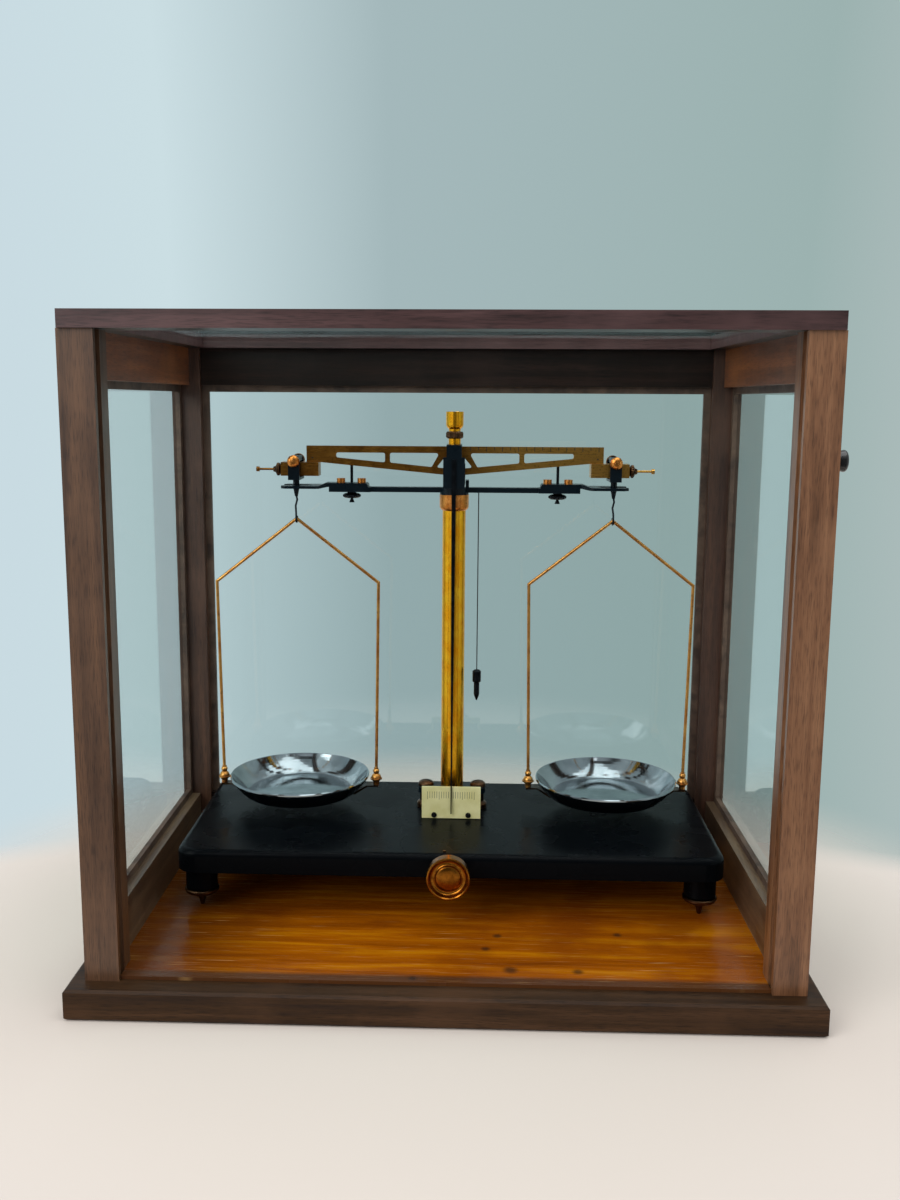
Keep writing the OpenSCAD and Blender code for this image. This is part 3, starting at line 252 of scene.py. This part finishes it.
def window_glass(name):
    """Thin drawn sheet glass: clear and faintly green, with slow waves. Lamp light goes straight through."""
    material, tree, place = new_material(name)
    wave = add(tree, "TexNoise", {"Vector": place, "Scale": per_mm(GLASS_WAVE), "Detail": 1.0})
    bump = add(tree, "Bump", {"Height": wave, "Strength": 0.04, "Distance": 0.0005})
    pane = add(tree, "BsdfPrincipled", {
        "Base Color": linear("eaf1f0"), "Roughness": 0.0, "IOR": 1.5, "Transmission Weight": 1.0,
        "Normal": bump})
    clear = add(tree, "BsdfTransparent", {"Color": linear("f2faf8")})
    ray = add(tree, "LightPath").outputs
    unseen = add(tree, "Math", {0: ray["Is Shadow Ray"], 1: ray["Is Diffuse Ray"]}, operation="MAXIMUM")
    surface = add(tree, "MixShader", {0: unseen, 1: pane, 2: clear})
    add(tree, "OutputMaterial", {"Surface": surface})
    return material


# Floor board, in millimetres: the height of its top, the place and size of its dark marks, the stretch over
# which painted shadow darkens its left end, and the rear edge of the dark band along its front
BOARD_TOP = 20
FLOOR_MARKS = [
    (31.2, -60.6, 3), (103.9, -55.9, 3), (76.2, -104.4, 3.5), (38, -104, 4.5), (24, -78, 3), (-17, -116, 3)]
SHADOW_FROM, SHADOW_TO = -85 * MM, -165 * MM
BAND_FROM, BAND_TO = -111 * MM, -115 * MM
BOARD_FIGURE_WIDE, BOARD_FIGURE_LONG = 9, 110
STAIN_PATCH = 55
# Scratches are a few tenths of a millimetre wide, drawn larger so that they show
SCRATCH_WIDE, SCRATCH_LONG, SCRATCH_TURN = 1.1, 30, 0.5


def varnished_board(name):
    """Pine under thick orange shellac: streaked amber and brown, glossy, scratched, with nail marks."""
    material, tree, place = new_material(name)
    streaks = add(tree, "Mapping", {
        "Vector": place, "Scale": grain_scale(BOARD_FIGURE_WIDE, BOARD_FIGURE_LONG, "X")})
    figure = add(tree, "TexNoise", {
        "Vector": streaks, "Scale": 1.0, "Detail": 7.0, "Roughness": 0.6, "Distortion": 0.4})
    colour = add(tree, "ValToRGB", {"Fac": figure}, [(0.26, "743602"), (0.5, "a05402"), (0.72, "c07808")])
    patches = add(tree, "TexNoise", {"Vector": place, "Scale": per_mm(STAIN_PATCH), "Detail": 3.0})
    stained = add(tree, "MapRange", {"Value": patches, "From Min": 0.5, "From Max": 0.68, "To Max": 0.7})
    colour = add(tree, "Mix", {"Factor": stained, "A": colour, "B": linear("7a3806")}, data_type="RGBA")
    across = add(tree, "SeparateXYZ", {"Vector": place}).outputs
    # Painted shadow: towards its left end, by the left post, the board turns dark brown
    painted_shadow = add(tree, "MapRange", {
        "Value": across["X"], "From Min": SHADOW_FROM, "From Max": SHADOW_TO, "To Max": 0.8})
    colour = add(tree, "Mix", {"Factor": painted_shadow, "A": colour, "B": linear("4a2206")}, data_type="RGBA")
    banded = add(tree, "MapRange", {
        "Value": across["Y"], "From Min": BAND_FROM, "From Max": BAND_TO, "To Max": 0.92})
    colour = add(tree, "Mix", {"Factor": banded, "A": colour, "B": linear("4c2f1c")}, data_type="RGBA")
    for x, y, size in FLOOR_MARKS:
        far = add(tree, "VectorMath", {0: place, 1: mm(x, y, BOARD_TOP)}, operation="DISTANCE")
        blot = add(tree, "MapRange", {
            "Value": far.outputs["Value"], "From Min": size * 0.4 * MM, "From Max": size * 1.2 * MM,
            "To Min": 0.75, "To Max": 0.0})
        colour = add(tree, "Mix", {"Factor": blot, "A": colour, "B": linear("2e1d12")}, data_type="RGBA")
    slanted = add(tree, "Mapping", {
        "Vector": place, "Rotation": (0, 0, SCRATCH_TURN),
        "Scale": (per_mm(SCRATCH_LONG), per_mm(SCRATCH_WIDE), 1)})
    scratches = add(tree, "TexNoise", {"Vector": slanted, "Scale": 1.0, "Detail": 2.0})
    rough = add(tree, "MapRange", {
        "Value": scratches, "From Min": 0.45, "From Max": 0.75, "To Min": 0.16, "To Max": 0.42})
    # Deep scratches show the pale wood under the shellac
    bare = add(tree, "MapRange", {"Value": scratches, "From Min": 0.66, "From Max": 0.74, "To Max": 0.5})
    colour = add(tree, "Mix", {"Factor": bare, "A": colour, "B": linear("d0a468")}, data_type="RGBA")
    bump = add(tree, "Bump", {"Height": scratches, "Strength": 0.12, "Distance": 0.0001})
    surface = add(tree, "BsdfPrincipled", {
        "Base Color": colour, "Roughness": rough, "Normal": bump, "Specular IOR Level": 0.22})
    add(tree, "OutputMaterial", {"Surface": surface})
    return material


PLATE_CLOUD = 14


def polished_chrome(name):
    """Bright plate on a spun pan, buffed: sharp reflections that only soft unevenness breaks."""
    material, tree, place = new_material(name)
    cloud = add(tree, "TexNoise", {"Vector": place, "Scale": per_mm(PLATE_CLOUD), "Detail": 4.0})
    colour = add(tree, "ValToRGB", {"Fac": cloud}, [(0.3, "848f94"), (0.7, "a3adb1")])
    rough = add(tree, "MapRange", {"Value": cloud, "To Min": 0.06, "To Max": 0.13})
    bump = add(tree, "Bump", {"Height": cloud, "Strength": 0.06, "Distance": 0.0002})
    surface = add(tree, "BsdfPrincipled", {
        "Base Color": colour, "Metallic": 1.0, "Roughness": rough, "Normal": bump})
    add(tree, "OutputMaterial", {"Surface": surface})
    return material


def smooth_stuff(name, dark, light, roughness, cloud_wide=6, coat=0.0):
    """Moulded, waxed or ground stuff whose colour hardly wanders: celluloid, ebonite, agate or thread."""
    material, tree, place = new_material(name)
    cloud = add(tree, "TexNoise", {"Vector": place, "Scale": per_mm(cloud_wide), "Detail": 4.0})
    colour = add(tree, "ValToRGB", {"Fac": cloud}, [(0.3, dark), (0.7, light)])
    rough = add(tree, "MapRange", {"Value": cloud, "To Min": roughness * 0.8, "To Max": roughness * 1.25})
    surface = add(tree, "BsdfPrincipled", {
        "Base Color": colour, "Roughness": rough, "Coat Weight": coat, "Coat Roughness": 0.15})
    add(tree, "OutputMaterial", {"Surface": surface})
    return material


# Varnished mahogany: every board has its own tone, the right post and the top side rails the warmest
left_mahogany = mahogany("left_post_mahogany", "3a2415", "563a26", "6e4c32", "Z")
right_mahogany = mahogany("right_post_mahogany", "54341c", "7a5134", "966a48", "Z")
rear_mahogany = mahogany("rear_post_mahogany", "2a1810", "42291d", "5a3a29", "Z", coat=0.15)
side_rail_mahogany = mahogany("side_rail_mahogany", "4a2813", "713c1c", "93572b", "Y", coat=0.4)
low_rail_mahogany = mahogany("low_rail_mahogany", "38261a", "58422f", "78624a", "Y")
rear_rail_mahogany = mahogany(
    "rear_rail_mahogany", "0c0604", "190e09", "2a1a14", "X", coat=0.0, specular=0.2)
# The top frame gets painted shade, nearly black, on its faces that look down
top_mahogany = mahogany(
    "top_frame_mahogany", "2c1a19", "442b2a", "5c3f3e", "X", roughness=0.36, coat=0.3, under="0d0705")
plinth_mahogany = mahogany(
    "plinth_mahogany", "22140c", "38230f", "4e3420", "X", roughness=0.5, coat=0.0, specular=0.2)
bead_wood = mahogany("bead_wood", "34241c", "4e3a2e", "6a5445", "XYZ", roughness=0.55, coat=0.0, band=1.2)
shellac_board = varnished_board("shellac_board")
sheet_glass = window_glass("sheet_glass")
# Stoved enamel: deep black that shows only as a soft sheen
japan_black = enamel("japan_black", "05070a", "30383a", 0.26, 0.05)
arm_black = enamel("arm_black", "05121a", "26333a", 0.3, 0.2, dust=0.1)
# Lacquered brass: drawn tube and wire gleam yellow along their length, turned and bronzed pieces are browner
pillar_brass = lacquered_metal(
    "pillar_brass", "f49c12", "ffc22e", 0.24, streak="Z", spots=0.18, spot="6a380c")
knob_brass = lacquered_metal("knob_brass", "7a4814", "ae6e24", 0.22, patch=5, spots=0.4)
beam_brass = lacquered_metal(
    "beam_brass", "845420", "b07a34", 0.28, streak="X", spots=0.4, right_half_colour="d09c4c")
wire_brass = lacquered_metal(
    "wire_brass", "b06c34", "dca458", 0.3, patch=12, streak="Z", spots=0.5, spot="5a3018")
copper_brass = lacquered_metal("copper_brass", "c0702c", "f0a254", 0.26, patch=5, spots=0.3, spot="6a3818")
bronzed_brass = lacquered_metal("bronzed_brass", "3a2a1e", "6a4c34", 0.32, patch=4, spots=0.2, spot="14100c")
strap_bronze = lacquered_metal("strap_bronze", "33261c", "5c4530", 0.34, patch=7, spots=0.3, spot="14100c")
# Ground steel is grey and bright, blued steel nearly black
bright_steel = lacquered_metal("bright_steel", "8c8f92", "b4b7b9", 0.22, patch=6, spots=0.2, spot="3c3a38")
blued_steel = lacquered_metal("blued_steel", "15171a", "26292d", 0.35, patch=5)
bright_plate = polished_chrome("bright_plate")
# Celluloid is a warm ivory with a soft gloss, ebonite black and shiny, agate red-brown and glassy
ivory_celluloid = smooth_stuff("ivory_celluloid", "dad392", "ece6ae", 0.35, cloud_wide=9, coat=0.2)
ebonite = smooth_stuff("ebonite", "0c0c0c", "1a1a1a", 0.25, coat=0.3)
cream_leaf = smooth_stuff("cream_celluloid", "c4b98e", "ddd4ae", 0.35, coat=0.3)
agate = smooth_stuff("agate", "5a2a1c", "9a5a40", 0.12, cloud_wide=2)
waxed_thread = smooth_stuff("waxed_thread", "17191a", "2c2f30", 0.7, cloud_wide=1)
ink = smooth_stuff("engraving_ink", "1b1a14", "2c2a20", 0.5, cloud_wide=1)

# Which pieces of the model have which finish
FINISH = {
    left_mahogany: ["front_left_post"],
    right_mahogany: ["front_right_post"],
    rear_mahogany: ["rear_posts"],
    side_rail_mahogany: ["top_side_rails"],
    low_rail_mahogany: ["bottom_side_rails"],
    rear_rail_mahogany: ["rear_rails"],
    top_mahogany: ["top_frame"],
    plinth_mahogany: ["plinth"],
    bead_wood: ["glazing_beads"],
    shellac_board: ["floor_panel"],
    sheet_glass: ["case_glass"],
    japan_black: ["base_plate", "rear_foot", "scale_bracket"],
    arm_black: ["pillar_bridge", "pillar_head", "arrest_arms", "end_forks", "bearing_block", "beam_saddle",
        "left_stirrup", "right_stirrup"],
    pillar_brass: ["pillar_tube", "gravity_post", "gravity_bob"],
    knob_brass: ["arrest_knob"],
    beam_brass: ["beam", "end_blocks"],
    wire_brass: ["left_bow", "right_bow"],
    copper_brass: ["pillar_collar", "left_stirrup_cap", "right_stirrup_cap", "arm_screws"],
    bronzed_brass: ["bridge_screws", "bridge_spacers", "knob_bush", "left_levelling_screw",
        "right_levelling_screw", "gravity_nut", "left_balance_nut", "right_balance_nut"],
    strap_bronze: ["left_pan_strap", "right_pan_strap"],
    bright_steel: ["lifting_rod", "arrest_shaft", "centre_knife", "end_knives"],
    blued_steel: ["pointer", "arrest_pins", "pin_nuts", "plumb_bob"],
    bright_plate: ["left_pan", "right_pan"],
    ivory_celluloid: ["scale_plate"],
    ebonite: ["sash_clamp_knob", "scale_screws"],
    cream_leaf: ["sash_clamp_leaf"],
    agate: ["bearing_planes"],
}
for material, names in FINISH.items():
    for name in names:
        cad[name].data.materials.clear()
        cad[name].data.materials.append(material)


# Pieces

def piece(name, data, material, body):
    """A finished mesh or curve as an object that rides on a body of the model."""
    made = new_object(name, data)
    data.materials.append(material)
    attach(made, body)
    return made


def mesh_of(name, form):
    """The finished form as a mesh."""
    mesh = bpy.data.meshes.new(name)
    form.to_mesh(mesh)
    form.free()
    return mesh


# Plumb line, in millimetres: where it is tied, from the balance's axis, and the steps in which it hangs down
LINE_X, LINE_TOP = 16.2, 279.3
LINE_STEP, LINE_STEPS = 8, 15
LINE_RADIUS = 0.35


def thread_curve(name):
    """The plumb line's thread as one open curve, straight down from its tie."""
    curve = bpy.data.curves.new(name, "CURVE")
    curve.dimensions = "3D"
    curve.bevel_depth = LINE_RADIUS * MM
    curve.bevel_resolution = 3
    curve.use_fill_caps = True
    strand = curve.splines.new("POLY")
    strand.points.add(LINE_STEPS)
    for k, point in enumerate(strand.points):
        point.co = (*on_balance(LINE_X, 0, LINE_TOP - LINE_STEP * k), 1)
    return curve


plumb_thread = piece("plumb_thread", thread_curve("plumb_thread"), waxed_thread, "case")
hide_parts("plumb_line")

# The ink of engraved lines stands this far out of their face, and goes this far into it
INK_PROUD, INK_DEEP = 0.05, 0.02


def engraved(lines, front, wide):
    """Boxes of ink for upright lines in a face at y = front.

    Each line is its x and its lowest and highest place, in millimetres.
    """
    near, far = front - INK_PROUD, front + INK_DEEP
    return [
        (on_balance(x - wide / 2, near, low), on_balance(x + wide / 2, far, high))
        for x, low, high in lines]


def box_mesh(name, boxes):
    """Small boxes, each from its lowest to its highest corner, in one mesh."""
    form = bmesh.new()
    for low, high in boxes:
        stretch = Matrix.Diagonal(high - low).to_4x4()
        bmesh.ops.create_cube(form, size=1, matrix=Matrix.Translation((low + high) / 2) @ stretch)
    return mesh_of(name, form)


# Pointer scale: its divisions from left to right, with each fifth line a little longer
SCALE_LEFT, SCALE_LONG, SCALE_PARTS = -15.8, 31.2, 20
SCALE_TOP, SCALE_FRONT, SCALE_LINE = 81.4, -26.0, 0.24
FIFTH_TALL, LINE_TALL = 5.4, 4.6
scale_lines = [
    (SCALE_LEFT + SCALE_LONG * k / SCALE_PARTS, SCALE_TOP - (LINE_TALL if k % 5 else FIFTH_TALL), SCALE_TOP)
    for k in range(SCALE_PARTS + 1)]
piece("scale_graduations", box_mesh("scale_graduations", engraved(scale_lines, SCALE_FRONT, SCALE_LINE)),
    ink, "case")

# Beam: tenths of its right arm, with halves. Two pin ends show at each end of it
BEAM_TOP, BEAM_FRONT, BEAM_LINE = 309.4, -1.5, 0.42
ARM_PARTS = 20
TENTH_TALL, HALF_TALL, BEAM_EDGE = 3.1, 2.2, 0.1
PIN_X, PIN_HEIGHTS, PIN_WIDE = 93.8, (301.5, 297.8), 0.9
beam_lines = [
    (KNIFE_X * k / ARM_PARTS, BEAM_TOP - (HALF_TALL if k % 2 else TENTH_TALL), BEAM_TOP - BEAM_EDGE)
    for k in range(2, ARM_PARTS - 1)]
pin_ends = [(s * PIN_X, z - PIN_WIDE / 2, z + PIN_WIDE / 2) for s in (-1, 1) for z in PIN_HEIGHTS]
beam_marks = engraved(beam_lines, BEAM_FRONT, BEAM_LINE) + engraved(pin_ends, BEAM_FRONT, PIN_WIDE)
piece("beam_graduations", box_mesh("beam_graduations", beam_marks), ink, "beam_assembly")

# Section through a ridge of the knurling: its place along the band, as a share, and its height over the edge
RIDGE, VALLEY, SUNK = 0.28, 0.02, -0.4
KNURL_SECTION = [(-0.5, SUNK), (-0.5, VALLEY), (-0.38, RIDGE), (0.38, RIDGE), (0.5, VALLEY), (0.5, SUNK)]


def knurled_band(name, material, body, middle, axis, radius, length, teeth):
    """Straight knurling: a band of ridges round an edge. Its radius and length are in millimetres."""
    form = bmesh.new()
    turn = Vector((0, 0, 1)).rotation_difference(Vector(axis)).to_matrix()
    count = 2 * teeth
    rings = []
    for along, out in KNURL_SECTION:
        ring = []
        for k in range(count):
            angle = math.pi * k / teeth
            r = radius + (out if k % 2 or out < 0 else VALLEY)
            spot = Vector((r * math.cos(angle), r * math.sin(angle), along * length))
            ring.append(form.verts.new(middle + turn @ spot * MM))
        rings.append(ring)
    for low, high in zip(rings, rings[1:] + rings[:1]):
        for k in range(count):
            j = (k + 1) % count
            form.faces.new((low[k], low[j], high[j], high[k]))
    return piece(name, mesh_of(name, form), material, body)


UPRIGHT, CROSSWISE = (0, 0, 1), (1, 0, 0)
# Where the knurled nuts stand, from the balance's axis
GRAVITY_NUT_HEIGHT = 316.85
NUT_X, NUT_HEIGHT = 116.7, 293.75
PIN_NUT_X, PIN_NUT_Y, PIN_NUT_HEIGHT = 68.3, 3.0, 276.4
knurled_band("gravity_nut_knurling", bronzed_brass, "gravity_weight",
    on_balance(0, 0, GRAVITY_NUT_HEIGHT), UPRIGHT, radius=5.45, length=3.3, teeth=26)
for side, s in (("left", -1), ("right", 1)):
    knurled_band(side + "_nut_knurling", bronzed_brass, side + "_nut",
        on_balance(s * NUT_X, 0, NUT_HEIGHT), CROSSWISE, radius=4.0, length=1.7, teeth=20)
    knurled_band(side + "_pin_nut_knurling", blued_steel, "case",
        on_balance(s * PIN_NUT_X, PIN_NUT_Y, PIN_NUT_HEIGHT), UPRIGHT, radius=5.7, length=1.5, teeth=26)


# Floor, light and surroundings, in metres

FLOOR_RADIUS, FLOOR_DROP = 1.6, 0.0002
FADE_FROM, FADE_TO = 0.25, 0.42


def paper_floor():
    """The pale table under the case. Further out it fades into the surroundings, which have its colour."""
    material, tree, place = new_material("paper_floor")
    far = add(tree, "VectorMath", {0: place}, operation="LENGTH")
    fade = add(tree, "MapRange", {"Value": far.outputs["Value"], "From Min": FADE_FROM, "From Max": FADE_TO},
        interpolation_type="SMOOTHSTEP")
    paper = add(tree, "BsdfDiffuse", {"Color": linear("e0d6cd")})
    clear = add(tree, "BsdfTransparent")
    surface = add(tree, "MixShader", {0: fade, 1: paper, 2: clear})
    add(tree, "OutputMaterial", {"Surface": surface})
    form = bmesh.new()
    bmesh.ops.create_circle(form, cap_ends=True, segments=96, radius=FLOOR_RADIUS)
    mesh = mesh_of("floor", form)
    mesh.materials.append(material)
    floor = new_object("floor", mesh)
    floor.location.z = -FLOOR_DROP


LAMP_AIM = Vector((0, 0, 0.2))


def soft_lamp(name, place, size, power):
    """A square soft light that faces the case."""
    data = bpy.data.lights.new(name, "AREA")
    data.size = size
    data.energy = power
    lamp = new_object(name, data)
    lamp.location = place
    lamp.rotation_mode = "QUATERNION"
    lamp.rotation_quaternion = (LAMP_AIM - Vector(place)).to_track_quat("-Z", "Y")


def surroundings():
    """Even light on the part. Seen past it and in it: a pale wall over a table, a ceiling and a dark room."""
    world = bpy.data.worlds.new("surroundings")
    world.use_nodes = True
    tree = world.node_tree
    tree.nodes.clear()
    way = add(tree, "SeparateXYZ", {"Vector": add(tree, "TexCoord").outputs["Generated"]}).outputs
    # The wall stands behind a table whose far edge lies 20 degrees below the eye
    edge = add(tree, "MapRange", {"Value": way["Z"], "From Min": -0.342, "From Max": -0.356})
    across = add(tree, "MapRange", {"Value": way["X"], "From Min": -0.36, "From Max": 0.36})
    wall = add(tree, "ValToRGB", {"Fac": across}, [
        (0.0, "c9dbe2"), (0.16, "cbdee3"), (0.4, "a4b8bb"), (0.86, "9cb2b0"), (1.0, "aebdbc")])
    behind = add(tree, "Mix", {"Factor": edge, "A": wall, "B": linear("ece4dd")}, data_type="RGBA")
    # From the wall at +Y to the room at -Y, which is bright at its sides and dark in the middle
    room = add(tree, "MapRange", {"Value": way["Y"], "From Min": 0.15, "From Max": -0.55},
        interpolation_type="SMOOTHSTEP")
    turned = add(tree, "MapRange", {"Value": way["X"], "From Min": -1.0, "From Max": 1.0})
    walls = add(tree, "ValToRGB", {"Fac": turned}, [
        (0.1, "f2f6f8"), (0.36, "6a6e70"), (0.5, "4c5052"), (0.66, "6c7072"), (0.9, "c4cacc")])
    sides = add(tree, "Mix", {"Factor": room, "A": behind, "B": walls}, data_type="RGBA")
    above = add(tree, "MapRange", {"Value": way["Z"], "From Min": 0.3, "From Max": 0.75},
        interpolation_type="SMOOTHSTEP")
    seen = add(tree, "Mix", {"Factor": above, "A": sides, "B": linear("c8ced2")}, data_type="RGBA")
    ray = add(tree, "LightPath").outputs
    mirrored = add(tree, "Mix", {"Factor": ray["Is Glossy Ray"], "A": behind, "B": seen}, data_type="RGBA")
    straight = add(tree, "Math", {0: ray["Is Camera Ray"], 1: ray["Is Transmission Ray"]},
        operation="MAXIMUM")
    shown = add(tree, "Math", {0: straight, 1: ray["Is Glossy Ray"]}, operation="MAXIMUM")
    light = add(tree, "Background", {"Color": linear("f4f6f7"), "Strength": 0.62})
    view = add(tree, "Background", {"Color": mirrored, "Strength": 1.0})
    add(tree, "OutputWorld", {"Surface": add(tree, "MixShader", {0: shown, 1: light, 2: view})})
    bpy.context.scene.world = world


paper_floor()
surroundings()
soft_lamp("window_light", (-1.3, -1.5, 1.3), size=1.4, power=24)
soft_lamp("ceiling_light", (0.3, -0.2, 1.9), size=1.6, power=17)
bpy.context.scene.view_settings.view_transform = "Standard"
